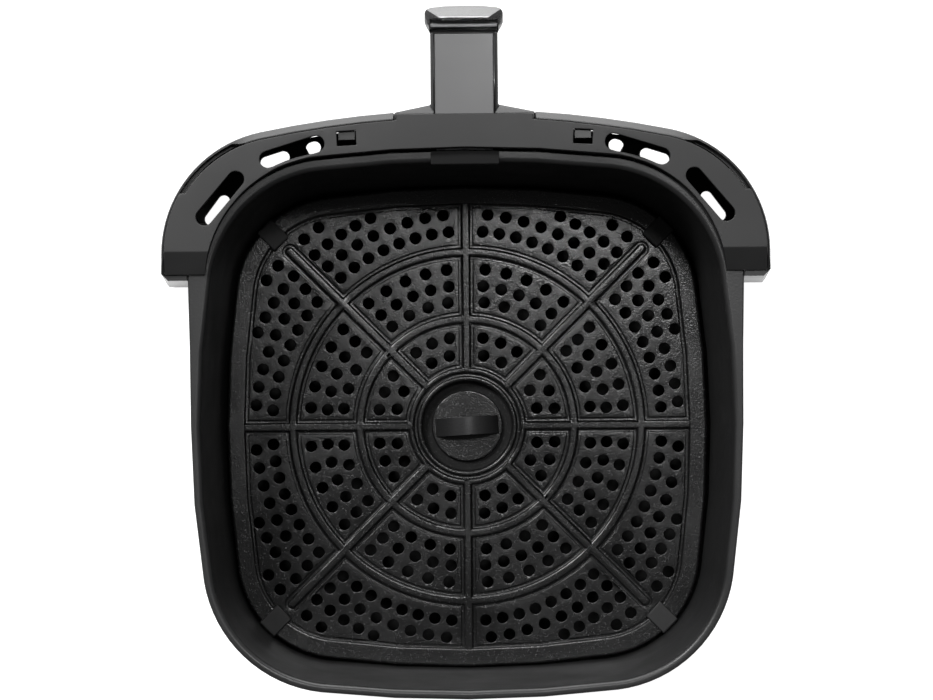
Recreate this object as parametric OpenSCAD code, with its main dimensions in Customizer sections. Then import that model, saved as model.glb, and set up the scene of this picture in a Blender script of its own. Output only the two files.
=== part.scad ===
// Air fryer drawer: a non-stick pan with a plastic front, a fixed handle and a lift-out crisper plate.
// +Z is up, the handle points to -Y, and the origin is the middle of the pan's flat underside.
// Lengths are millimetres. "Reach" is a distance towards the handle, so y = -reach.

/* [Pan] */
// Half width of the pan's mouth, inside
mouth_x = 131; // [128:0.5:134]
// Half depth of the pan's mouth, inside
mouth_y = 129.6; // [127:0.2:131]
// How far the mouth's corner arcs are centred from the pan's middle
mouth_corner = 65.3; // [63:0.1:66]
// Radius of the mouth's corner arcs
mouth_r = 60.6; // [58:0.1:61]
// Height of the rim above the underside
rim_h = 110; // [105:1:120]
// Sheet thickness of the pan
pan_t = 1.2; // [0.8:0.1:1.6]
// Lean of the pan's walls, in degrees
draft = 3; // [2:0.5:4]
// Width of the rim's flat flange at the sides and back
flange_w = 4.6; // [4:0.1:6]

/* [Crisper plate] */
// Half width of the square crisper plate
plate_half = 124.4; // [122:0.2:125]
// How far the plate's corner arcs are centred from its middle
plate_corner = 66; // [64:0.1:67]
// Radius of the plate's corner arcs
plate_r = 53.7; // [52:0.1:55]
// Height of the plate's upper face above the pan's underside
plate_top = 25; // [24:0.5:30]
// Width of one raised rib
rib_w = 4.4; // [3.6:0.2:5]
// Radius of the inner ring rib
ring_1 = 55.4; // [54:0.2:56]
// Radius of the outer ring rib
ring_2 = 90.3; // [89:0.2:92]
// Diameter of one air hole
hole_d = 5.8; // [5:0.1:6]
// Diameter of the disc in the hub
disc_d = 36.8; // [34:0.2:38]
// Length of the lift strap over the disc
strap_l = 32.6; // [30:0.2:33]
// Width of the lift strap
strap_w = 9.5; // [8:0.5:11]
// Height of the lift strap above the disc
strap_rise = 10; // [9:0.5:12]

/* [Front] */
// Overall width of the plastic front
front_w = 299; // [296:1:304]
// Reach of the front's face at the middle
front_reach = 155; // [153:0.5:158]
// Radius of the front's long bow
front_bow_r = 500; // [480:5:520]
// Radius of the front's corners
front_corner_r = 61; // [58:0.5:64]
// Reach where the side wings end
wing_reach = 72; // [70:0.5:76]
// Height of the front's cover
cover_top = 116; // [114:0.5:120]
// Wall thickness of the front's outer shell
shell_t = 3; // [2.4:0.2:3.4]
// How far the front's faces lean outwards from top to bottom
shell_lean = 7.5; // [5:0.5:9]

/* [Handle] */
// Width of the handle's arm
arm_w = 33.3; // [31:0.5:35]
// Width of the grip
grip_w = 39; // [37:0.5:42]
// Reach of the handle's far face
handle_reach = 207; // [204:1:212]
// Height of the grip's lower end
grip_bottom = 22; // [15:1:40]

/* [Hidden] */

sweep_fn = 256;             // segments a full turn for the long swept walls
round_fn = 64;              // segments a full turn for bores and small rounds
gap = 0.3;                  // clearance between neighbouring pieces
eps = 0.05;                 // overlap that makes two shapes one solid

// Colours
c_coat = "#2f2f30";
c_cover = "#484849";
c_gloss = "#1c1c1d";
c_insert = "#868688";
c_bright = "#b9b9bd";
c_steel = "#8d9094";
c_silicone = "#3b3b3c";

// Pan, worked out
flange_side_x = 136.6;      // half width of the straight flange strips beside the wings
bend_r = 2.5;               // rim bend, outside
floor_r = 10;               // floor bend, inside
lip_h = 2.6;                // turned-down edge of the flange

// Crisper plate, worked out
sheet = 1.0;                // lower ledges of the plate are this thick
pad_drop = 1.5;             // pocket floors lie this far below the rib tops
groove_drop = 2.4;          // grooves beside the ribs
groove_w = 1.6;
under_drop = 3.4;           // underside of the plate
border_w = 9.2;             // flat border outside the pockets
plate_edge_h = 4.5;         // turned-down edge of the plate
hub_r = 30.4;
bowl_drop = 6.4;
disc_drop = 4.2;            // top of the disc below the rib tops
spoke_r = 129;              // far end of a diagonal rib
axis_spoke_r = 115.4;       // far end of a straight rib
spoke_round = 1.05;         // edge rounding of the straight and diagonal ribs
ring_round = 1.25;          // edge rounding of the ring ribs

// Front, worked out
corner_x = front_w / 2 - front_corner_r;
corner_reach = front_reach - front_bow_r
    + sqrt(pow(front_bow_r - front_corner_r, 2) - pow(corner_x, 2));
bow_half = atan2(corner_x, front_bow_r - front_reach + corner_reach);
lip_w = 3.9;                // bright bevelled lip across the front
thin_lip_w = 1.4;           // lip round the wings
lip_change = 62;            // angle of the corner where the lip gets thin
cover_step = 29;            // angle of the corner where the cover gets wider
cover_t = 2.5;
cover_floor = rim_h + gap;
mouth_shift = 4.5;          // the cover's inner edge is centred this far forward
mouth_inset = 2.2;
shell_bottom = 3;
wing_wall = 5;              // thickness of the wings' closed ends
block_half = 35;            // half width of the notch for the handle's base
block_top = cover_top - cover_t - gap;
lean_top = cover_top - 3.8; // the outward lean starts here
lean_angle = atan2(shell_lean, lean_top - shell_bottom);
boss_x = 84.8;              // stiffening boss between the lower openings
boss_reach = 140;
boss_top = 60;
wing_post_x = 142;
wing_post_reach = 90;

// Handle, worked out
arm_top = block_top;
arm_bottom = arm_top - 14.2;
grip_back = handle_reach - 23;
grip_split = handle_reach - 14;
core_top = arm_top - 6;
core_t = 3;
core_w = 20;

// Radius of the long side arc that meets a corner arc smoothly
function side_r(a, c, r) = (r * r - (a - c) * (a - c) - c * c) / (2 * (r - a + c));
// Half of the angle that the long side arc covers
function side_half(a, c, r) = atan2(c, side_r(a, c, r) - a + c);
// Points along an arc, from angle a0 to a1
function arc(x, y, r, a0, a1, n) =
    [for (i = [0:n]) [x + r * cos(a0 + (a1 - a0) * i / n), y + r * sin(a0 + (a1 - a0) * i / n)]];
// Points turned about the origin
function turned(points, a) =
    [for (p = points) [p[0] * cos(a) - p[1] * sin(a), p[0] * sin(a) + p[1] * cos(a)]];
// The same arc without its last point, for chains of arcs
function open_arc(x, y, r, a0, a1, n) = [for (i = [0:n - 1]) arc(x, y, r, a0, a1, n)[i]];
// A list back to front
function reversed(l) = [for (i = [len(l) - 1:-1:0]) l[i]];
// One quarter of a square outline with bowed sides, moved out by d
function quarter(a, b, c, r, d) = concat(
    open_arc(a - side_r(a, c, r), 0, side_r(a, c, r) + d, -side_half(a, c, r), side_half(a, c, r), 4),
    open_arc(c, c, r + d, side_half(a, c, r), 90 - side_half(b, c, r), 16));
// The whole bowed square outline
function bowed_square(a, b, c, r, d) = concat(
    quarter(a, b, c, r, d), turned(quarter(b, a, c, r, d), 90),
    turned(quarter(a, b, c, r, d), 180), turned(quarter(b, a, c, r, d), 270));
function mouth(d) = bowed_square(mouth_x, mouth_y, mouth_corner, mouth_r, d);
function plate_outline(d) = bowed_square(plate_half, plate_half, plate_corner, plate_r, d);
// The front's outer line from wing to wing, moved out by d, closed at reach "back"
function front_area(d, back) = concat(
    [[-front_w / 2 - d, -back]],
    open_arc(-corner_x, -corner_reach, front_corner_r + d, 180, 270 - bow_half, 20),
    open_arc(0, front_bow_r - front_reach, front_bow_r + d, 270 - bow_half, 270 + bow_half, 12),
    arc(corner_x, -corner_reach, front_corner_r + d, 270 + bow_half, 360, 20),
    [[front_w / 2 + d, -back]]);

// Repeats its children on the left and on the right
module both_sides() {
    children();
    mirror([1, 0, 0]) children();
}

// A solid through a stack of outlines that have equally many points. A closed stack joins its last
// outline to its first and makes a ring; an open one is closed by flat ends.
module loft(loops, ring = false) {
    n = len(loops[0]);
    m = len(loops);
    polyhedron(
        points = [for (l = loops) each l],
        faces = concat(
            ring ? [] : [[for (i = [0:n - 1]) i], [for (i = [n - 1:-1:0]) (m - 1) * n + i]],
            [for (k = [0:ring ? m - 1 : m - 2]) for (i = [0:n - 1])
                let (j = (i + 1) % n, up = (k + 1) % m)
                each [[k * n + i, up * n + i, up * n + j], [k * n + i, up * n + j, k * n + j]]]));
}

// A bar with round ends between two points, as a flat outline
module bar(p, q, w) {
    run = q - p;
    translate(p) rotate(atan2(run[1], run[0])) {
        translate([0, -w / 2]) square([norm(run), w]);
        circle(d = w, $fn = round_fn);
        translate([norm(run), 0]) circle(d = w, $fn = round_fn);
    }
}

// A screw with a domed head; the shank points up and the head's seat is at z = 0
module screw(shank_d, shank_l, head_d, head_h) {
    translate([0, 0, -eps]) cylinder(d = shank_d, h = shank_l + eps, $fn = round_fn);
    difference() {
        rotate_extrude($fn = round_fn) polygon(concat([[0, 0], [head_d / 2, 0]],
            [for (a = [0:15:90]) [head_d / 2 * cos(a), -head_h * 0.4 - head_h * 0.6 * sin(a)]]));
        for (a = [0, 90]) rotate([0, 0, a])
            translate([-head_d * 0.3, -head_d * 0.07, -head_h - eps]) cube([head_d * 0.6, head_d * 0.14, head_h * 0.5]);
    }
}

// ---- Pan ----

// The pan's section from the underside, up the outside, over the rim and down the inside to the floor.
// Each point is [distance outside the mouth's line, height, share of the flange's extra width].
function pan_section(foot) = concat(
    [for (p = arc(foot, pan_t + floor_r, floor_r + pan_t, 270, 360 - draft, 6)) [p[0], p[1], 0]],
    [for (p = arc(bend_r, rim_h - bend_r, bend_r - pan_t, 180 - draft, 90, 4)) [p[0], p[1], 0]],
    [[flange_w - pan_t, rim_h - pan_t, 1], [flange_w - pan_t, rim_h - lip_h, 1], [flange_w, rim_h - lip_h, 1],
        [flange_w, rim_h - 0.6, 1], [flange_w - 0.6, rim_h, 1]],
    [for (p = arc(bend_r, rim_h - bend_r, bend_r, 90, 180 - draft, 5)) [p[0], p[1], 0]],
    [for (p = arc(foot, pan_t + floor_r, floor_r, 360 - draft, 270, 6)) [p[0], p[1], 0]]);

// Extra width of the flange at depth y: its side edges run straight to the wings, and it is a little
// wider under the cover
function flange_extra(y) = y > 0 ? 0 : y > -90 ? 0.00128 * y * y : 1.4;

module pan() {
    wall_top = [bend_r - bend_r * cos(draft), rim_h - bend_r + bend_r * sin(draft)];
    foot_z = pan_t + floor_r - floor_r * sin(draft);
    foot = wall_top[0] - (wall_top[1] - foot_z) * tan(draft) - floor_r * cos(draft);
    line = mouth(0);
    outward = mouth(1) - line;
    color(c_coat) loft([for (s = pan_section(foot)) [for (i = [0:len(line) - 1])
        let (d = s[0] + s[2] * flange_extra(line[i][1]))
        [line[i][0] + d * outward[i][0], line[i][1] + d * outward[i][1], s[1]]]]);
}

// Steel angle on the pan's front wall that carries the handle
module pan_bracket() {
    reach = mouth_y + pan_t + 0.15;
    color(c_steel) difference() {
        union() {
            translate([-18, -reach, core_top - core_t - 1.5]) rotate([-draft, 0, 0])
                translate([0, -1.5, -20]) cube([36, 1.5, 21]);
            translate([-14, -reach - 17.5, core_top - core_t - 1.5]) cube([28, 17.5, 1.5]);
        }
        handle_screw_places() cylinder(d = 4.4, h = 12, center = true, $fn = round_fn);
    }
}

// Spring clip over the rim at the front
module rim_clip() {
    color(c_steel) translate([-16.8, -mouth_y, 0]) rotate([90, 0, 90]) linear_extrude(33.6)
        polygon([[1.35, rim_h - 3.5], [0.9, rim_h - 3.5], [0.95, rim_h + 0.1], [-5.2, rim_h + 0.1],
            [-5.2, rim_h + 0.7], [1, rim_h + 0.7], [1.5, rim_h + 0.3]]);
}

// ---- Plastic front ----

// How far the leaning faces stand outside the front's outer line at height z
function lean(z) = (lean_top - z) * tan(lean_angle);
// The shell's outside, from its lower edge up to the bevelled lip: [distance outside the line, height]
function shell_outside(top) = [[lean(shell_bottom) - 2.4, shell_bottom], [lean(shell_bottom) - 0.8, shell_bottom + 1],
    [lean(shell_bottom + 4), shell_bottom + 4], [0, lean_top], [-0.5, top - 1.9], [-lip_w + 0.6, top]];
// A stack of the front's outlines, for sections of [distance outside the line, height]
function front_stack(section, back) =
    [for (s = section) [for (p = front_area(s[0], back)) [p[0], p[1], s[1]]]];

// Flat outline of the opening inside the lip: near the wings the lip is thin
module lip_opening() {
    polygon(front_area(-lip_w, -20));
    intersection() {
        polygon(front_area(-thin_lip_w, -20));
        translate([-front_w, -corner_reach - front_corner_r * sin(lip_change)]) square([2 * front_w, 200]);
    }
}

// Everything above the slope at the wings' ends
module wing_slope(lower) {
    translate([-front_w, -wing_reach - 14, cover_top - lower]) rotate([-21, 0, 0]) cube([2 * front_w, 30, 20]);
}

module fascia_shell() {
    top = cover_top - 0.4;
    color(c_gloss) difference() {
        loft(front_stack(shell_outside(top), wing_reach));
        difference() {
            union() {
                loft(front_stack([[lean(-1) - shell_t, -1], [-shell_t, lean_top], [-shell_t, top - 6]], -20));
                translate([0, 0, top - 7]) linear_extrude(20) lip_opening();
            }
            both_sides() {
                // closed end of the wing
                translate([flange_side_x + 0.6, -wing_reach - wing_wall, shell_bottom - 2])
                    cube([front_w, wing_wall + 1, rim_h - shell_bottom + 2 - eps]);
                // hook that shows in the cover's window
                translate([54, -front_reach + 4, block_top - 2.8]) cube([8, 3, 2.8]);
                translate([54, -front_reach + 6, block_top - 1.2]) cube([8, 8.5, 1.2]);
            }
        }
        // notch for the handle's base
        translate([-block_half, -front_reach - 5, arm_bottom - 5.5]) cube([2 * block_half, 20, 60]);
        // wing ends: sloping top, raked face and cut corner
        wing_slope(0.3);
        both_sides() {
            translate([front_w / 2 - 20, -wing_reach, cover_top]) rotate([-1.1, 0, 0])
                translate([0, 0, -140]) cube([40, 10, 160]);
            translate([front_w / 2, -wing_reach - 3.4, lean_top]) rotate([0, -lean_angle, 0])
                translate([0, 0, -130]) rotate([0, 0, 45]) cube([10, 10, 160]);
        }
    }
}

// The slots that let steam out of the front, two on each side
module vent_slots(w) {
    both_sides() {
        bar([127.9, -102.9], [112.3, -121.3], w);
        bar([72.9, -138.3], [96.5, -131], w);
    }
}

// Openings in the bottom, spread out below the slots, three on each side
module lower_openings() {
    both_sides() {
        bar([133.8, -109.8], [126.8, -119.2], 6.2);
        bar([104.2, -139.2], [95.4, -142], 6.6);
        bar([80.2, -146.6], [79, -147], 6.6);
    }
}

module cover_outline() {
    difference() {
        union() {
            polygon(front_area(-lip_w - gap, wing_reach + 3));
            // wider wings behind the step
            intersection() {
                polygon(front_area(-thin_lip_w - gap, wing_reach + 3));
                translate([-front_w / 2, -corner_reach - front_corner_r * sin(cover_step)])
                    square([front_w, 60]);
            }
            translate([-block_half + 1.5, -front_reach + 2.5]) square([2 * block_half - 3, 20]);
        }
        translate([0, -mouth_shift]) polygon(mouth(mouth_inset));
    }
}

module top_cover() {
    color(c_cover) difference() {
        union() {
            translate([0, 0, cover_top - cover_t]) linear_extrude(cover_t) cover_outline();
            // skirt down to the pan's flange
            translate([0, 0, cover_floor]) linear_extrude(cover_top - cover_floor - eps) intersection() {
                cover_outline();
                translate([0, -mouth_shift]) polygon(mouth(mouth_inset + 2));
            }
            // solid wing ends
            translate([0, 0, cover_floor]) linear_extrude(cover_top - cover_floor - eps) intersection() {
                cover_outline();
                translate([-front_w / 2, -88]) square([front_w, 13]);
            }
            both_sides() translate([wing_post_x, -wing_post_reach, shell_bottom + 3])
                cylinder(d = 6.4, h = cover_top - cover_t - shell_bottom - 3 + eps, $fn = round_fn);
        }
        translate([0, 0, cover_top - cover_t - 1]) linear_extrude(cover_t + 2) vent_slots(8.2);
        both_sides() translate([58, -141, cover_top]) rotate([0, 0, 3]) cube([9.5, 7.3, 3 * cover_t], center = true);
        wing_slope(0);
        cover_screw_places() cylinder(d = 2.6, h = 12, $fn = round_fn);
    }
}

// Where the cover's screws start, at the head's seat
module cover_screw_places() {
    both_sides() translate([wing_post_x, -wing_post_reach, shell_bottom + 0.5]) children();
}

module bottom_cover() {
    z = shell_bottom + 0.5;
    edge = lean(z + 2.4) - shell_t - gap;
    color(c_cover) difference() {
        union() {
            translate([0, 0, z]) linear_extrude(2.4) difference() {
                polygon(front_area(edge, wing_reach + wing_wall + gap));
                polygon(mouth(-2.6));
            }
            // upstand beside the pan's wall
            translate([0, 0, z]) linear_extrude(14) intersection() {
                difference() {
                    polygon(mouth(-0.8));
                    polygon(mouth(-2.6));
                }
                polygon(front_area(edge, wing_reach + wing_wall + gap));
            }
            both_sides() translate([boss_x, -boss_reach, z]) cylinder(d = 9, h = boss_top - z, $fn = round_fn);
        }
        translate([0, 0, z - 1]) linear_extrude(5) lower_openings();
        both_sides() translate([boss_x, -boss_reach, z - 1]) cylinder(d = 5.6, h = boss_top - z - 1.5, $fn = round_fn);
        cover_screw_places() cylinder(d = 3.2, h = 20, center = true, $fn = round_fn);
    }
}

module cover_screws() {
    color(c_steel) cover_screw_places() screw(2.5, 10, 5.2, 1.6);
}

// ---- Handle ----

module handle_body() {
    chamfer = 1.9;
    half = arm_w / 2;
    color(c_gloss) difference() {
        union() {
            // base block behind the shell's notch, with a sloping wedge each side of the arm
            difference() {
                translate([0, 0, arm_bottom - 5]) linear_extrude(arm_top - arm_bottom + 5) polygon([
                    [-34.4, -front_reach + 6], [-34.4, -front_reach + 1.2], [-half, -front_reach - 2.6],
                    [half, -front_reach - 2.6], [34.4, -front_reach + 1.2], [34.4, -front_reach + 6]]);
                translate([-40, -front_reach + 1.9, arm_top]) rotate([30, 0, 0])
                    translate([0, -20, 0]) cube([80, 20, 10]);
            }
            // arm
            translate([0, -front_reach + 4, 0]) rotate([90, 0, 0])
                linear_extrude(grip_split - front_reach + 4) polygon([
                    [-half, arm_bottom + chamfer], [-half + chamfer, arm_bottom],
                    [half - chamfer, arm_bottom], [half, arm_bottom + chamfer],
                    [half, arm_top - chamfer], [half - chamfer, arm_top],
                    [-half + chamfer, arm_top], [-half, arm_top - chamfer]]);
            // back half of the grip, with a rounded lower end and a fillet under the arm
            translate([-half, 0, 0]) rotate([90, 0, 90]) linear_extrude(arm_w) polygon(concat(
                [[-grip_split, arm_bottom + 4], [-grip_split, grip_bottom]],
                arc(-grip_back - 6, grip_bottom + 6, 6, 270, 360, 6),
                arc(-grip_back + 7, arm_bottom - 7, 7, 180, 90, 6),
                [[-grip_back + 7, arm_bottom + 4]]));
        }
        // pocket for the steel core
        translate([-core_w / 2 - 0.2, -grip_split - eps, core_top - core_t - 0.2])
            cube([core_w + 0.4, grip_split - front_reach + 20, core_t + 0.4]);
        translate([-core_w / 2 - 0.2, -grip_split - eps, grip_bottom + 12])
            cube([core_w + 0.4, core_t + 0.4, core_top - grip_bottom - 12]);
        // recess for the top plate
        translate([-half + chamfer + 0.1, -grip_split + 0.7, arm_top - 0.8])
            cube([arm_w - 2 * chamfer - 0.2, grip_split - front_reach + 1.9, 2]);
        grip_screw_places() {
            cylinder(d = 4, h = 30, $fn = round_fn);
            translate([0, 0, -10]) cylinder(d = 6.6, h = 10, $fn = round_fn);
        }
    }
}

module grip_plan(inset) {
    w = grip_w / 2 - inset;
    front = handle_reach - inset;
    polygon([[-arm_w / 2 + inset, -grip_split - 0.2], [-w + 0.9, -grip_split - 3.4], [-w, -grip_split - 5.6],
        [-w, -front + 3.4], [-w + 0.8, -front + 1.8], [-w + 3, -front + 0.9], [-w / 2, -front + 0.2], [0, -front],
        [w / 2, -front + 0.2], [w - 3, -front + 0.9], [w - 0.8, -front + 1.8], [w, -front + 3.4],
        [w, -grip_split - 5.6], [w - 0.9, -grip_split - 3.4], [arm_w / 2 - inset, -grip_split - 0.2]]);
}

// Front shell of the grip, with bevelled ends and the recess behind its head
module grip_front() {
    bevel = 6.5;
    head = arm_top + 1;
    color(c_gloss) difference() {
        union() {
            translate([0, 0, grip_bottom + 3]) linear_extrude(head - bevel - grip_bottom - 3 + eps) grip_plan(0);
            hull() {
                translate([0, 0, head - bevel]) linear_extrude(eps) grip_plan(0);
                translate([-12.6, -grip_split - 7.3, head - eps]) cube([25.2, 6, eps]);
                translate([-12.6, -grip_split - 7.3, head - eps]) cube([25.2, 1, eps]);
            }
            hull() {
                translate([0, 0, grip_bottom + 3]) linear_extrude(eps) grip_plan(0);
                translate([0, 0, grip_bottom]) linear_extrude(eps) grip_plan(2.4);
            }
        }
        // recess between the head and the arm
        translate([-arm_w / 2, -grip_split - 6.8, arm_top - 8]) cube([arm_w, 8, 20]);
        grip_screw_places() cylinder(d = 3.6, h = 14.5, $fn = round_fn);
    }
}

module handle_top_insert() {
    half = arm_w / 2 - 2.1;
    back = front_reach - 2.3;
    front = grip_split - 0.8;
    color(c_insert) translate([0, -back, 0]) rotate([90, 0, 0]) linear_extrude(front - back)
        polygon([[-half, arm_top - 0.8], [half, arm_top - 0.8], [half, arm_top + 0.1], [half - 0.4, arm_top + 0.5],
            [-half + 0.4, arm_top + 0.5], [-half, arm_top + 0.1]]);
}

module handle_trim() {
    color(c_bright) translate([-arm_w / 2 + 0.3, -grip_split - 2.3, 0]) rotate([90, 0, 90])
        linear_extrude(arm_w - 0.6) polygon([[-1.9, arm_top - 7.9], [0.3, arm_top - 7.9], [0.3, arm_top + 0.1],
            [-0.1, arm_top + 0.5], [-1.5, arm_top + 0.5], [-1.9, arm_top + 0.1]]);
}

// Steel strip inside the arm and the grip
module handle_core() {
    start = mouth_y + 4;
    color(c_steel) difference() {
        union() {
            translate([-core_w / 2, -grip_split, core_top - core_t])
                cube([core_w, grip_split - start, core_t]);
            translate([-core_w / 2, -grip_split, grip_bottom + 12.2])
                cube([core_w, core_t, core_top - grip_bottom - 12.2]);
        }
        handle_screw_places() cylinder(d = 4.4, h = 12, center = true, $fn = round_fn);
        grip_screw_places() cylinder(d = 4.4, h = 30, $fn = round_fn);
    }
}

// Where the handle's screws start, at the head's seat under the bracket
module handle_screw_places() {
    for (reach = [138, 144.5]) translate([0, -reach, core_top - core_t - 1.5]) children();
}

module handle_screws() {
    color(c_steel) handle_screw_places() screw(4, 5.5, 7, 2.4);
}

// Where the grip's screws start, at the head's seat, with +Z turned to the handle's far face
module grip_screw_places() {
    for (z = [48, 84]) translate([0, -grip_back - 2.6, z]) rotate([90, 0, 0]) children();
}

module grip_screws() {
    color(c_steel) grip_screw_places() screw(3.5, 14, 6, 2.2);
}

// ---- Crisper ----

// The flat border's section, clockwise: [distance outside the plate's line, height]
function border_section(t) = concat(
    [[-border_w, t - under_drop], [-border_w, t - 0.9]],
    open_arc(-border_w + 0.9, t - 0.9, 0.9, 160, 90, 4),
    arc(-1.5, t - 1.5, 1.5, 90, 0, 5),
    [[0, t - plate_edge_h], [-sheet, t - plate_edge_h], [-sheet, t - 1.9], [-2, t - 1.3],
        [-border_w + 2, t - 1.3], [-border_w + 1.2, t - under_drop]]);

module border() {
    loft([for (s = reversed(border_section(plate_top))) [for (p = plate_outline(s[0])) [p[0], p[1], s[1]]]],
        ring = true);
}

// A rib's section with its upper edges rounded by r
module rib_section(r) {
    half = rib_w / 2;
    polygon(concat(
        [[-half, plate_top - groove_drop - 0.5], [half, plate_top - groove_drop - 0.5]],
        arc(half - r, plate_top - r, r, 0, 90, 5),
        arc(-half + r, plate_top - r, r, 90, 180, 5)));
}

// A straight rib from the hub to radius r_end
module spoke(r_end) {
    rotate([90, 0, 90]) translate([0, 0, hub_r - 2]) linear_extrude(r_end - hub_r + 2)
        rib_section(spoke_round);
}

// The domed free end of a rib
module spoke_end(r_end) {
    translate([r_end, 0, 0]) rotate_extrude($fn = round_fn) intersection() {
        rib_section(spoke_round);
        translate([0, plate_top - 10]) square([10, 20]);
    }
}

module hub() {
    t = plate_top;
    rotate_extrude($fn = sweep_fn) polygon(concat(
        [[0, t - bowl_drop - 1.5], [22.4, t - bowl_drop - 1.5], [24.2, t - bowl_drop], [24.8, t - under_drop],
            [hub_r, t - under_drop], [hub_r, t - 1.2]],
        arc(hub_r - 1.2, t - 1.2, 1.2, 0, 90, 5),
        arc(28.6, t - 1, 1, 90, 180, 5),
        [[27.4, t - 2.3], [25.9, t - 2.3]],
        arc(24.9, t - 1.4, 0.9, 0, 90, 5),
        arc(24.5, t - 1.6, 1.1, 90, 170, 5),
        [[22.9, t - bowl_drop + 0.8], [22.1, t - bowl_drop], [0, t - bowl_drop]]));
}

// Air holes of one eighth of the plate: [radius, first angle, step, number]
hole_rows = [[37.3, 13.8, 15.2, 2], [46.2, 10.8, 11.85, 3],
    [64.5, 8.4, 9.4, 4], [72.8, 7, 7.6, 5], [81.5, 7.05, 7.83, 5],
    [101, 5, 5, 8], [110, 6.05, 4.95, 8], [119, 24.5, 4.2, 5], [128.7, 36.4, 4.3, 2]];

module air_holes() {
    for (turn = [0:3]) for (flip = [0, 1]) rotate(90 * turn) mirror([0, flip])
        for (row = hole_rows) for (i = [0:row[3] - 1])
            rotate(row[1] + row[2] * i) translate([row[0], 0]) circle(d = hole_d, $fn = 24);
}

// Raised pocket floors between the ribs
module pocket_floors() {
    side = rib_w + 2 * groove_w;
    difference() {
        polygon(plate_outline(-border_w - groove_w));
        circle(r = hub_r + groove_w, $fn = sweep_fn);
        for (r = [ring_1, ring_2]) difference() {
            circle(r = r + side / 2, $fn = sweep_fn);
            circle(r = r - side / 2, $fn = sweep_fn);
        }
        for (a = [0:90:270]) {
            rotate(a) translate([0, -side / 2]) square([plate_half, side]);
            rotate(a + 45) bar([hub_r - 5, 0], [spoke_r, 0], side);
        }
    }
}

module crisper_plate() {
    color(c_coat) difference() {
        union() {
            border();
            translate([0, 0, plate_top - under_drop]) linear_extrude(under_drop - groove_drop) difference() {
                polygon(plate_outline(-border_w + 0.5));
                circle(r = hub_r - 1, $fn = sweep_fn);
            }
            translate([0, 0, plate_top - groove_drop - 0.5]) linear_extrude(groove_drop + 0.5 - pad_drop)
                pocket_floors();
            for (r = [ring_1, ring_2]) rotate_extrude($fn = sweep_fn) translate([r, 0])
                rib_section(ring_round);
            for (a = [0:90:270]) {
                rotate([0, 0, a]) spoke(axis_spoke_r);
                rotate([0, 0, a + 45]) {
                    spoke(spoke_r);
                    spoke_end(spoke_r);
                }
            }
            hub();
        }
        translate([0, 0, plate_top - 6]) linear_extrude(6) air_holes();
    }
}

module hub_disc() {
    r = disc_d / 2;
    top = plate_top - disc_drop;
    foot = plate_top - bowl_drop;
    color(c_coat) difference() {
        rotate_extrude($fn = sweep_fn) polygon(concat(
            [[0, top - sheet], [r - 1.6, top - sheet], [r - 1.2, foot], [r - 0.2, foot], [r, foot + 0.4]],
            arc(r - 0.8, top - 0.8, 0.8, 0, 90, 5), [[0, top]]));
        for (side = [-1, 1]) strap_turn() translate([side * (strap_l / 2 - 0.6), 0, top])
            cube([1.6, strap_w - 1.6, 4], center = true);
    }
}

// The strap lies three degrees off the plate's cross line
module strap_turn() {
    rotate([0, 0, 3]) children();
}

// Sprung steel strap: an arch over the disc whose tabs pass through it and fold inwards
module lift_strap() {
    t = 1.2;
    top = plate_top - disc_drop;
    half = strap_l / 2;
    outer_r = (half * half + strap_rise * strap_rise) / (2 * strap_rise);
    color(c_gloss) strap_turn() {
        translate([0, strap_w / 2, top]) rotate([90, 0, 0]) linear_extrude(strap_w) intersection() {
            translate([0, strap_rise - outer_r]) difference() {
                circle(r = outer_r, $fn = sweep_fn);
                circle(r = outer_r - t, $fn = sweep_fn);
            }
            translate([-half, 0]) square([strap_l, strap_rise + 1]);
        }
        for (side = [0, 1]) mirror([side, 0, 0]) translate([half - 1.2, -strap_w / 2 + 1, top]) {
            translate([0, 0, -1.9]) cube([1.15, strap_w - 2, 2]);
            translate([-3, 0, -1.9]) cube([4, strap_w - 2, 0.8]);
        }
    }
}

// Silicone bumper on one corner: grips the plate's edge and stands on the pan's floor
module bumper(a) {
    w = 10.6;
    t = plate_top;
    edge = plate_corner * sqrt(2) + plate_r;
    foot = pan_t + gap;
    color(c_silicone) rotate([0, 0, a]) translate([0, w / 2, 0]) rotate([90, 0, 0]) linear_extrude(w)
        polygon([[edge - 12.2, t + 0.05], [edge - 12.2, t + 1], [edge - 11.8, t + 1.3], [edge + 0.2, t + 1.3],
            [edge + 1.05, t + 0.4], [edge - 0.6, 14], [edge - 5, 5.5], [edge - 9, foot], [edge - 18, foot],
            [edge - 18, foot + 4], [edge - 11, 9], [edge - 7, t - plate_edge_h - 0.1],
            [edge + 0.08, t - plate_edge_h - 0.1], [edge + 0.08, t + 0.05]]);
}

module bumper_front_left() { bumper(225); }
module bumper_front_right() { bumper(315); }
module bumper_rear_left() { bumper(135); }
module bumper_rear_right() { bumper(45); }

pan();
pan_bracket();
top_cover();
fascia_shell();
bottom_cover();
rim_clip();
handle_body();
grip_front();
handle_top_insert();
handle_trim();
handle_core();
handle_screws();
grip_screws();
cover_screws();
crisper_plate();
hub_disc();
lift_strap();
bumper_front_left();
bumper_front_right();
bumper_rear_left();
bumper_rear_right();
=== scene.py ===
"""Looks of an air fryer's pulled-out drawer: a coated pan, a plastic front with its handle, and a
lift-out crisper plate. Lengths are metres, +Z is up and the handle points to -Y."""

import math

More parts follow.
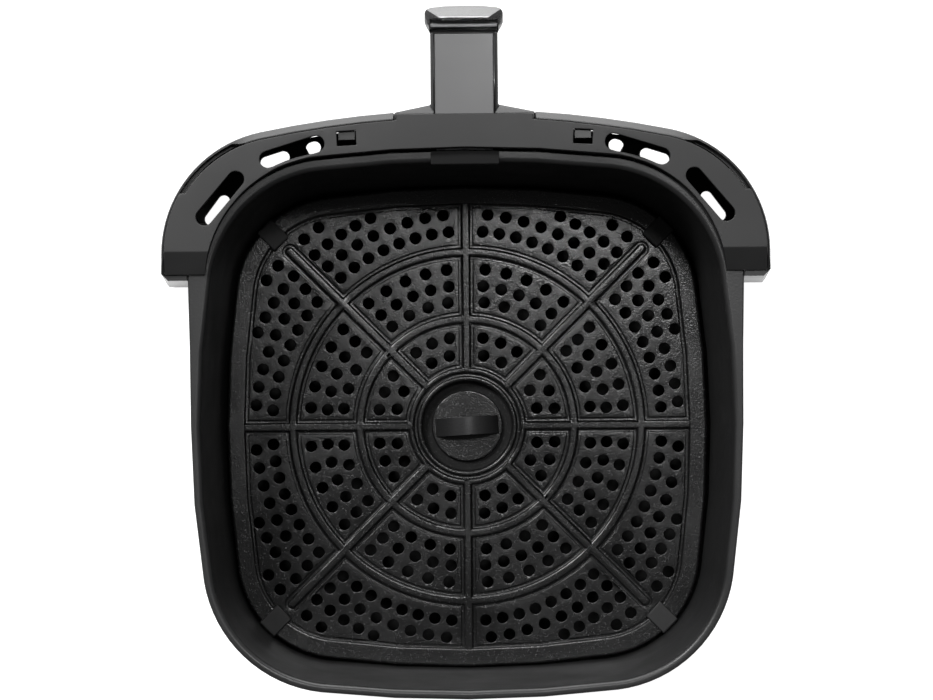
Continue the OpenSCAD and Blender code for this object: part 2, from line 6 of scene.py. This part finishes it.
import bpy
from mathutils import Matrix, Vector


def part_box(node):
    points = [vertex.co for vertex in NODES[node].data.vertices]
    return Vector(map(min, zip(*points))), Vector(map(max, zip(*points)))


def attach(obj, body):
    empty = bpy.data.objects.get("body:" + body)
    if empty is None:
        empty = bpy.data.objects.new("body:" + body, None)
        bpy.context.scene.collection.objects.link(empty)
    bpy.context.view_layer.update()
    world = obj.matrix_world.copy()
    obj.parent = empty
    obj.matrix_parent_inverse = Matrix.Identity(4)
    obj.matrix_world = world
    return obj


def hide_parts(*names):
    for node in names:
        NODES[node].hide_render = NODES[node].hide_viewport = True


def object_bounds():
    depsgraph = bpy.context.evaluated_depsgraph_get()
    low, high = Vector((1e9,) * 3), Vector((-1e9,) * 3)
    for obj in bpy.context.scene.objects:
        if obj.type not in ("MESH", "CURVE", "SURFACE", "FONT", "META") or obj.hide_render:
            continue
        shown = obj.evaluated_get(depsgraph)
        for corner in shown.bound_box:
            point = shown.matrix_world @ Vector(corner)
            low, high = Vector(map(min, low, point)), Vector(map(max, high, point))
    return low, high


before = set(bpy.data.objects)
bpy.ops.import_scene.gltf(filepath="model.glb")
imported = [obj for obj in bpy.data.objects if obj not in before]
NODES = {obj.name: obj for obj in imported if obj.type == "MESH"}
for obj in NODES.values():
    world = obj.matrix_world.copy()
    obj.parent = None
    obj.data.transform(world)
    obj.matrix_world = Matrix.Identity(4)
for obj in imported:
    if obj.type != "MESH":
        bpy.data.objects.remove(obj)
cad_low, cad_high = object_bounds()

MM = 0.001
CREASE = math.radians(20)  # edges sharper than this are rounded
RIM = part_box("pan")[1][2]  # height of the pan's rim
PLATE_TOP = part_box("crisper_plate")[1][2]
PAN_FLOOR = 8 * MM  # below this height the pan's coating gets painted shade and a duller finish
PLATE_LOW = 19.6 * MM  # so does the plate's below this height, round the hub's disc and inside the holes
# painted shade: the coating's colour is scaled by this below its floor height
LOW_SHADE = 0.25
LOW_ROUGHNESS = 0.9
VISIBLE_DEPTH = 3.2 * MM  # the plate's edges further down than this are out of sight
FLOOR_GAP = 0.2 * MM


# ---- Shared shader effects ----


def new_group(name, inputs, outputs):
    """An empty node group with float, colour or vector sockets, and its input and output nodes."""
    group = bpy.data.node_groups.new(name, "ShaderNodeTree")
    for label, kind, value in inputs:
        socket = group.interface.new_socket(label, in_out="INPUT", socket_type=f"NodeSocket{kind}")
        socket.default_value = value
    for label, kind in outputs:
        group.interface.new_socket(label, in_out="OUTPUT", socket_type=f"NodeSocket{kind}")
    return group, group.nodes.new("NodeGroupInput"), group.nodes.new("NodeGroupOutput")


def texture(tree, kind, scale, detail=2.0, stretch=None):
    """A procedural texture on Object coordinates; "stretch" scales its three axes."""
    place = tree.nodes.new("ShaderNodeTexCoord")
    node = tree.nodes.new(f"ShaderNodeTex{kind}")
    if kind == "Noise":
        node.inputs["Detail"].default_value = detail
    source = place.outputs["Object"]
    if stretch:
        mapping = tree.nodes.new("ShaderNodeMapping")
        mapping.inputs["Scale"].default_value = stretch
        tree.links.new(source, mapping.inputs["Vector"])
        source = mapping.outputs["Vector"]
    tree.links.new(source, node.inputs["Vector"])
    if isinstance(scale, float):
        node.inputs["Scale"].default_value = scale
    else:
        tree.links.new(scale, node.inputs["Scale"])
    return node


def remap(tree, value, low, high, to_low=0.0, to_high=1.0):
    """A value mapped from one range to another and kept inside it."""
    node = tree.nodes.new("ShaderNodeMapRange")
    tree.links.new(value, node.inputs["Value"])
    for label, amount in (("From Min", low), ("From Max", high), ("To Min", to_low), ("To Max", to_high)):
        if isinstance(amount, float):
            node.inputs[label].default_value = amount
        else:
            tree.links.new(amount, node.inputs[label])
    return node.outputs["Result"]


def arithmetic(tree, operation, first, second):
    """The result of a Math node on two values, each a socket or a number."""
    node = tree.nodes.new("ShaderNodeMath")
    node.operation = operation
    for socket, value in zip(node.inputs, (first, second)):
        if isinstance(value, float):
            socket.default_value = value
        else:
            tree.links.new(value, socket)
    return node.outputs["Value"]


def mixed(tree, share, first, second):
    """The colour between two colour sockets."""
    node = tree.nodes.new("ShaderNodeMix")
    node.data_type = "RGBA"
    tree.links.new(share, node.inputs["Factor"])
    tree.links.new(first, node.inputs["A"])
    tree.links.new(second, node.inputs["B"])
    return node.outputs["Result"]


def coating_group():
    """Sprayed non-stick coating: orange peel, pale flecks, a cloudy film, and painted shade low down, where
    it is also duller.
    """
    group, given, result = new_group(
        "sprayed coating",
        (
            ("Coat Colour", "Color", (0.02, 0.02, 0.021, 1)),
            ("Fleck Colour", "Color", (0.1, 0.1, 0.1, 1)),
            ("Fleck Share", "Float", 0.5),
            ("Peel Scale", "Float", 900.0),
            ("Smooth Roughness", "Float", 0.35),
            ("Dull Roughness", "Float", 0.55),
            ("Floor Height", "Float", 0.0),
        ),
        (("Colour", "Color"), ("Roughness", "Float"), ("Height", "Float")),
    )
    place = group.nodes.new("ShaderNodeTexCoord")
    axes = group.nodes.new("ShaderNodeSeparateXYZ")
    group.links.new(place.outputs["Object"], axes.inputs["Vector"])
    # painted shade: below Floor Height the coat colour is darkened to LOW_SHADE of itself
    above = arithmetic(group, "GREATER_THAN", axes.outputs["Z"], given.outputs["Floor Height"])
    shade = remap(group, above, 0.0, 1.0, LOW_SHADE, 1.0)
    coat = group.nodes.new("ShaderNodeVectorMath")
    coat.operation = "SCALE"
    group.links.new(given.outputs["Coat Colour"], coat.inputs[0])
    group.links.new(shade, coat.inputs["Scale"])
    peel = texture(group, "Noise", given.outputs["Peel Scale"], 1.0)
    flecks = texture(group, "Voronoi", 1500.0)
    spread = texture(group, "Noise", 700.0, 1.0)
    cloud = texture(group, "Noise", 28.0, 3.0)
    near = remap(group, flecks.outputs["Distance"], 0.34, 0.2)
    picked = remap(group, spread.outputs["Fac"], 0.52, 0.62)
    share = arithmetic(group, "MULTIPLY", near, picked)
    share = arithmetic(group, "MULTIPLY", share, given.outputs["Fleck Share"])
    colour = mixed(group, share, coat.outputs["Vector"], given.outputs["Fleck Colour"])
    rough = remap(
        group,
        cloud.outputs["Fac"],
        0.35,
        0.65,
        given.outputs["Smooth Roughness"],
        given.outputs["Dull Roughness"],
    )
    rough = arithmetic(group, "MAXIMUM", rough, remap(group, above, 0.0, 1.0, LOW_ROUGHNESS, 0.0))
    height = arithmetic(group, "ADD", peel.outputs["Fac"], arithmetic(group, "MULTIPLY", share, 0.35))
    group.links.new(colour, result.inputs["Colour"])
    group.links.new(rough, result.inputs["Roughness"])
    group.links.new(height, result.inputs["Height"])
    return group


def moulded_group():
    """Moulded plastic: fine spark-eroded grain, faint flow clouds and a little handling haze."""
    group, given, result = new_group(
        "moulded plastic",
        (
            ("Plastic Colour", "Color", (0.03, 0.03, 0.031, 1)),
            ("Haze Colour", "Color", (0.05, 0.05, 0.052, 1)),
            ("Grain Scale", "Float", 1600.0),
            ("Smooth Roughness", "Float", 0.35),
            ("Dull Roughness", "Float", 0.5),
        ),
        (("Colour", "Color"), ("Roughness", "Float"), ("Height", "Float")),
    )
    grain = texture(group, "Noise", given.outputs["Grain Scale"], 1.0)
    cloud = texture(group, "Noise", 14.0, 4.0)
    share = remap(group, cloud.outputs["Fac"], 0.4, 0.75)
    colour = mixed(group, share, given.outputs["Plastic Colour"], given.outputs["Haze Colour"])
    rough = remap(
        group,
        cloud.outputs["Fac"],
        0.3,
        0.7,
        given.outputs["Smooth Roughness"],
        given.outputs["Dull Roughness"],
    )
    group.links.new(colour, result.inputs["Colour"])
    group.links.new(rough, result.inputs["Roughness"])
    group.links.new(grain.outputs["Fac"], result.inputs["Height"])
    return group


def brushed_group():
    """Rolled or brushed metal: streaks along X that vary tint, roughness and height."""
    group, given, result = new_group(
        "brushed metal",
        (
            ("Metal Colour", "Color", (0.55, 0.55, 0.56, 1)),
            ("Streak Colour", "Color", (0.4, 0.4, 0.41, 1)),
            ("Smooth Roughness", "Float", 0.25),
            ("Dull Roughness", "Float", 0.45),
        ),
        (("Colour", "Color"), ("Roughness", "Float"), ("Height", "Float")),
    )
    streaks = texture(group, "Noise", 60.0, 3.0, stretch=(1, 40, 40))
    share = remap(group, streaks.outputs["Fac"], 0.35, 0.65)
    colour = mixed(group, share, given.outputs["Metal Colour"], given.outputs["Streak Colour"])
    rough = remap(
        group,
        streaks.outputs["Fac"],
        0.3,
        0.7,
        given.outputs["Smooth Roughness"],
        given.outputs["Dull Roughness"],
    )
    group.links.new(colour, result.inputs["Colour"])
    group.links.new(rough, result.inputs["Roughness"])
    group.links.new(streaks.outputs["Fac"], result.inputs["Height"])
    return group


# ---- Finishes ----


def finish_from(group, name, bump, bump_depth, values, shader=None):
    """A material whose Principled shader takes colour, roughness and bump from a group."""
    material = bpy.data.materials.new(name)
    material.use_nodes = True
    tree = material.node_tree
    principled = tree.nodes["Principled BSDF"]
    effect = tree.nodes.new("ShaderNodeGroup")
    effect.node_tree = group
    for label, value in values.items():
        effect.inputs[label].default_value = value
    relief = tree.nodes.new("ShaderNodeBump")
    relief.inputs["Strength"].default_value = bump
    relief.inputs["Distance"].default_value = bump_depth
    tree.links.new(effect.outputs["Height"], relief.inputs["Height"])
    tree.links.new(effect.outputs["Colour"], principled.inputs["Base Color"])
    tree.links.new(effect.outputs["Roughness"], principled.inputs["Roughness"])
    tree.links.new(relief.outputs["Normal"], principled.inputs["Normal"])
    for label, value in (shader or {}).items():
        principled.inputs[label].default_value = value
    return material


def grey(level, tint=1.02):
    """A neutral colour, a touch bluer than grey."""
    return (level, level, level * tint, 1)


COATING = coating_group()
MOULDED = moulded_group()
BRUSHED = brushed_group()

FINISHES = {
    "pan_coating": finish_from(
        COATING,
        "pan coating",
        0.35,
        0.00012,
        {
            "Coat Colour": grey(0.014),
            "Fleck Colour": grey(0.035),
            "Floor Height": PAN_FLOOR,
            "Fleck Share": 0.5,
            "Peel Scale": 900.0,
            "Smooth Roughness": 0.34,
            "Dull Roughness": 0.44,
        },
        {"IOR": 1.42},
    ),
    "plate_coating": finish_from(
        COATING,
        "plate coating",
        0.6,
        0.00014,
        {
            "Coat Colour": grey(0.006),
            "Fleck Colour": grey(0.08),
            "Floor Height": PLATE_LOW,
            "Fleck Share": 0.8,
            "Peel Scale": 1300.0,
            "Smooth Roughness": 0.2,
            "Dull Roughness": 0.28,
        },
    ),
    "cover_plastic": finish_from(
        MOULDED,
        "matt cover plastic",
        0.25,
        0.00006,
        {
            "Plastic Colour": grey(0.008),
            "Haze Colour": grey(0.011),
            "Grain Scale": 1700.0,
            "Smooth Roughness": 0.46,
            "Dull Roughness": 0.6,
        },
    ),
    "shell_plastic": finish_from(
        MOULDED,
        "satin shell plastic",
        0.06,
        0.00003,
        {
            "Plastic Colour": grey(0.012),
            "Haze Colour": grey(0.017),
            "Grain Scale": 2400.0,
            "Smooth Roughness": 0.28,
            "Dull Roughness": 0.38,
        },
        {"IOR": 1.42},
    ),
    "grip_plastic": finish_from(
        MOULDED,
        "glossy grip plastic",
        0.05,
        0.00003,
        {
            "Plastic Colour": grey(0.02),
            "Haze Colour": grey(0.026),
            "Grain Scale": 2400.0,
            "Smooth Roughness": 0.16,
            "Dull Roughness": 0.26,
        },
        {"Coat Weight": 1.0, "Coat Roughness": 0.12, "Coat IOR": 1.9},
    ),
    "insert_plastic": finish_from(
        MOULDED,
        "grey arm insert",
        0.12,
        0.00004,
        {
            "Plastic Colour": grey(0.06),
            "Haze Colour": grey(0.072),
            "Grain Scale": 2000.0,
            "Smooth Roughness": 0.3,
            "Dull Roughness": 0.42,
        },
    ),
    "trim_metal": finish_from(
        BRUSHED,
        "bright trim",
        0.1,
        0.00002,
        {"Metal Colour": grey(0.06), "Streak Colour": grey(0.048)},
        {"Metallic": 1.0},
    ),
    "steel": finish_from(
        BRUSHED,
        "plated steel",
        0.15,
        0.00003,
        {"Metal Colour": grey(0.5), "Streak Colour": grey(0.36)},
        {"Metallic": 1.0},
    ),
    "dark_steel": finish_from(
        BRUSHED,
        "blackened steel",
        0.1,
        0.00002,
        {
            "Metal Colour": grey(0.05),
            "Streak Colour": grey(0.035),
            "Smooth Roughness": 0.26,
            "Dull Roughness": 0.36,
        },
        {"Metallic": 0.6},
    ),
    "clip_paint": finish_from(
        MOULDED,
        "black clip paint",
        0.15,
        0.00004,
        {
            "Plastic Colour": grey(0.006),
            "Haze Colour": grey(0.009),
            "Grain Scale": 2000.0,
            "Smooth Roughness": 0.55,
            "Dull Roughness": 0.66,
        },
        {"IOR": 1.25},
    ),
    "silicone": finish_from(
        MOULDED,
        "dark silicone",
        0.2,
        0.00006,
        {
            "Plastic Colour": grey(0.01),
            "Haze Colour": grey(0.015),
            "Grain Scale": 1300.0,
            "Smooth Roughness": 0.62,
            "Dull Roughness": 0.74,
        },
    ),
}


# ---- Pieces ----


def deselect():
    """Clears the selection, because an operator acts on all that is selected."""
    bpy.ops.object.select_all(action="DESELECT")


def copy_of(node, name):
    """A separate mesh copy of a CAD node with its loose triangles merged, selected and active."""
    deselect()
    source = NODES[node]
    piece = bpy.data.objects.new(name, source.data.copy())
    bpy.context.scene.collection.objects.link(piece)
    piece.select_set(True)
    bpy.context.view_layer.objects.active = piece
    bpy.ops.object.mode_set(mode="EDIT")
    bpy.ops.mesh.select_all(action="SELECT")
    bpy.ops.mesh.remove_doubles(threshold=0.00001)
    bpy.ops.object.mode_set(mode="OBJECT")
    return piece


def round_edges(piece, width, steps, careful, above):
    """Rounds every edge sharper than CREASE, shades the piece smooth and keeps its flats flat.

    "careful" narrows the rounding where short edges leave it no room. Edges lower than "above" stay
    sharp, which is for edges that are out of sight.
    """
    bpy.ops.object.shade_smooth()
    bpy.ops.object.mode_set(mode="EDIT")
    bpy.ops.mesh.select_mode(type="EDGE")
    bpy.ops.mesh.select_all(action="DESELECT")
    bpy.ops.mesh.edges_select_sharp(sharpness=CREASE)
    bpy.ops.object.mode_set(mode="OBJECT")
    mesh = piece.data
    weights = mesh.attributes.new("bevel_weight_edge", "FLOAT", "EDGE")
    for edge in mesh.edges:
        high = all(mesh.vertices[corner].co.z > above for corner in edge.vertices)
        weights.data[edge.index].value = float(edge.select and high)
    bevel = piece.modifiers.new("rounding", "BEVEL")
    bevel.limit_method = "WEIGHT"
    bevel.width = width
    bevel.segments = steps
    bevel.use_clamp_overlap = careful
    bpy.ops.object.modifier_apply(modifier=bevel.name)
    flats = piece.modifiers.new("flat faces stay flat", "WEIGHTED_NORMAL")
    flats.weight = 100
    bpy.ops.object.modifier_apply(modifier=flats.name)


def softened(node, body, finish, width, steps=2, careful=False, above=-1.0):
    """Stands a round-edged copy in for a CAD node, with the finish "finish", attached to "body"."""
    piece = copy_of(node, f"{node}_finished")
    round_edges(piece, width, steps, careful, above)
    piece.data.materials.clear()
    piece.data.materials.append(FINISHES[finish])
    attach(piece, body)
    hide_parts(node)


def recoat(node, finish):
    """Gives a CAD node its finish and leaves its shape."""
    target = NODES[node]
    for slot in target.material_slots:
        slot.material = FINISHES[finish]
    if not target.material_slots:
        target.data.materials.append(FINISHES[finish])


# ---- Light, floor and camera ----


def make_floor():
    """White table that glows a little, so that its shadows stay pale."""
    deselect()
    bpy.ops.mesh.primitive_plane_add(size=8, location=(0, 0, cad_low[2] - FLOOR_GAP))
    floor = bpy.context.object
    floor.name = "floor"
    bpy.ops.object.transform_apply(location=True, rotation=True, scale=True)
    material = bpy.data.materials.new("white table")
    material.use_nodes = True
    shader = material.node_tree.nodes["Principled BSDF"]
    shader.inputs["Base Color"].default_value = (0.6, 0.6, 0.6, 1)
    shader.inputs["Roughness"].default_value = 0.9
    shader.inputs["Emission Color"].default_value = (1, 1, 1, 1)
    shader.inputs["Emission Strength"].default_value = 1.0
    floor.data.materials.append(material)


def make_world():
    """A dim room that looks pale to the eye."""
    world = bpy.data.worlds.new("studio")
    bpy.context.scene.world = world
    world.use_nodes = True
    tree = world.node_tree
    background = tree.nodes["Background"]
    sight = tree.nodes.new("ShaderNodeLightPath")
    strength = remap(tree, sight.outputs["Is Camera Ray"], 0.0, 1.0, 0.1, 0.9)
    background.inputs["Color"].default_value = (1, 1, 1, 1)
    tree.links.new(strength, background.inputs["Strength"])


def softbox(name, place, target, width, depth, power):
    """A rectangular area light at "place" that faces "target"."""
    data = bpy.data.lights.new(name, "AREA")
    data.shape = "RECTANGLE"
    data.size = width
    data.size_y = depth
    data.energy = power
    lamp = bpy.data.objects.new(name, data)
    bpy.context.scene.collection.objects.link(lamp)
    lamp.location = place
    aim = [t - p for t, p in zip(target, place)]
    flat = math.hypot(aim[0], aim[1])
    lamp.visible_camera = False
    lamp.rotation_euler = (math.atan2(flat, -aim[2]), 0, math.atan2(aim[1], aim[0]) - math.pi / 2)


def make_camera():
    """Camera high over the pan, with the handle at the top of its view, tilted a little towards it."""
    height = 1.5  # above the rim
    ahead = 0.0426  # how far towards the handle its view's centre falls, at the rim
    data = bpy.data.cameras.new("camera")
    data.lens = 118
    data.sensor_width = 36
    camera = bpy.data.objects.new("camera", data)
    bpy.context.scene.collection.objects.link(camera)
    camera.location = (0.0004, 0.0057, RIM + height)
    camera.rotation_euler = (math.atan2(ahead, height), 0, math.pi - math.radians(0.5))
    bpy.context.scene.camera = camera


make_camera()
make_floor()
make_world()
softbox("key", (-0.2, -0.64, 2.2), (0, 0, 0.05), 0.34, 0.34, 15.8)
softbox("glint", (0.85, -0.95, 1.35), (0, 0, 0.03), 0.42, 0.42, 28)
softbox("front", (0, -1.7, 0.6), (0, -0.1, 0.15), 1.6, 0.95, 40)
bpy.context.scene.view_settings.view_transform = "Standard"

softened("pan", "drawer", "pan_coating", 0.2 * MM)
softened("top_cover", "drawer", "cover_plastic", 0.35 * MM)
softened("fascia_shell", "drawer", "shell_plastic", 0.3 * MM, careful=True)
softened("bottom_cover", "drawer", "cover_plastic", 0.3 * MM)
softened("handle_body", "drawer", "shell_plastic", 0.5 * MM)
softened("grip_front", "drawer", "grip_plastic", 0.6 * MM)
softened("handle_top_insert", "drawer", "insert_plastic", 0.25 * MM)
softened("handle_trim", "drawer", "trim_metal", 0.2 * MM)
softened("rim_clip", "drawer", "clip_paint", 0.15 * MM)
softened("pan_bracket", "drawer", "steel", 0.3 * MM)
softened("crisper_plate", "crisper", "plate_coating", 0.35 * MM, above=PLATE_TOP - VISIBLE_DEPTH)
softened("lift_strap", "crisper", "dark_steel", 0.25 * MM)
for corner in ("front_left", "front_right", "rear_left", "rear_right"):
    softened(f"bumper_{corner}", "crisper", "silicone", 0.7 * MM, 3)
recoat("hub_disc", "plate_coating")
for hidden in ("handle_screws", "grip_screws", "cover_screws", "handle_core"):
    recoat(hidden, "steel")
